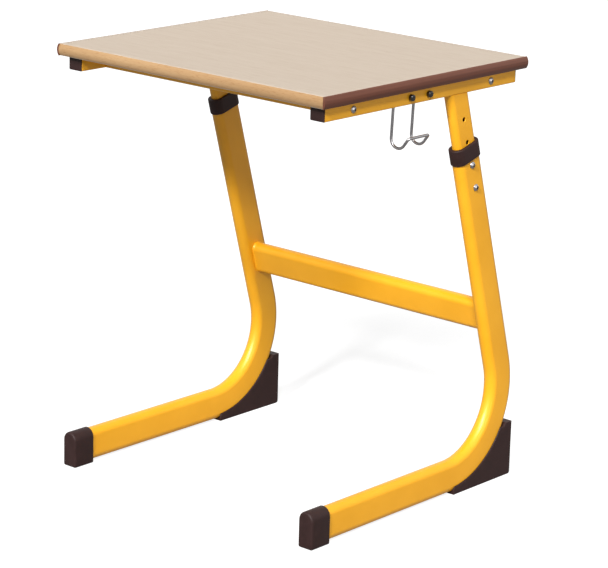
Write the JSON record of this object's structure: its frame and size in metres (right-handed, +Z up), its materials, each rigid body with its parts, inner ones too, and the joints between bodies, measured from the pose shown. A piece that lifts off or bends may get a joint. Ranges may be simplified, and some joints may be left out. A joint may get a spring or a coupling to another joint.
{
  "type": "adjustable school desk",
  "caption": "School desk with a flat wood-edged top on leaned flat-oval tube legs; its height slides in the legs, and a wire bag hook hangs from a side rail.",
  "frame": {"origin": "centre of the bounding box on the floor", "axes": "+Z up; -Y towards the pupil, where the feet point; +X to the pupil's right, the side with the bag hook"},
  "size_m": [0.606, 0.5452, 0.76],
  "materials": {
    "yellow_coat": "gloss powder coat, warm yellow",
    "beech": "lacquered beech",
    "laminate": "pale wood-grain laminate, satin",
    "board": "raw particle board, hidden",
    "brown_edge": "dark brown edge band, satin",
    "black_plastic": "black-brown moulded plastic, fine texture",
    "zinc_steel": "bright zinc plate",
    "black_steel": "black oxide, glossy caps"
  },
  "bodies": {
    "leg_frame": {"left_leg": "yellow_coat", "right_leg": "yellow_coat", "crossbar": "yellow_coat", "left_guide_collar": "black_plastic", "left_foot_cap": "black_plastic", "left_rear_wedge": "black_plastic", "left_upper_lock_screw": "zinc_steel", "left_upper_thread_insert": "zinc_steel", "left_lower_lock_screw": "zinc_steel", "left_lower_thread_insert": "zinc_steel", "left_wedge_screw": "zinc_steel", "right_guide_collar": "black_plastic", "right_foot_cap": "black_plastic", "right_rear_wedge": "black_plastic", "right_upper_lock_screw": "zinc_steel", "right_upper_thread_insert": "zinc_steel", "right_lower_lock_screw": "zinc_steel", "right_lower_thread_insert": "zinc_steel", "right_wedge_screw": "zinc_steel"},
    "desk_frame": {"top_core": "board", "top_laminate": "laminate", "top_backing_sheet": "laminate", "front_beech_lipping": "beech", "rear_beech_lipping": "beech", "left_edge_strip": "brown_edge", "right_edge_strip": "brown_edge", "left_side_rail": "yellow_coat", "right_side_rail": "yellow_coat", "front_cross_rail": "yellow_coat", "rear_cross_rail": "yellow_coat", "left_inner_post": "yellow_coat", "right_inner_post": "yellow_coat", "left_post_glide_plug": "black_plastic", "front_left_rail_plug": "black_plastic", "front_left_end_insert": "zinc_steel", "front_left_rail_bolt": "zinc_steel", "rear_left_rail_plug": "black_plastic", "rear_left_end_insert": "zinc_steel", "rear_left_rail_bolt": "zinc_steel", "right_post_glide_plug": "black_plastic", "front_right_rail_plug": "black_plastic", "front_right_end_insert": "zinc_steel", "front_right_rail_bolt": "zinc_steel", "rear_right_rail_plug": "black_plastic", "rear_right_end_insert": "zinc_steel", "rear_right_rail_bolt": "zinc_steel", "bag_hook": "zinc_steel", "front_hook_bolt": "black_steel", "front_hook_washer": "zinc_steel", "front_hook_nut": "zinc_steel", "rear_hook_bolt": "black_steel", "rear_hook_washer": "zinc_steel", "rear_hook_nut": "zinc_steel", "top_screw_1": "zinc_steel", "top_screw_2": "zinc_steel", "top_screw_3": "zinc_steel", "top_screw_4": "zinc_steel", "top_screw_5": "zinc_steel", "top_screw_6": "zinc_steel"}
  },
  "joints": [
    {"name": "height_adjust", "type": "slide", "parent": "leg_frame", "child": "desk_frame", "axis": [0, -0.284, 0.9588], "range_m": [-0.085, 0.0425]}
  ]
}
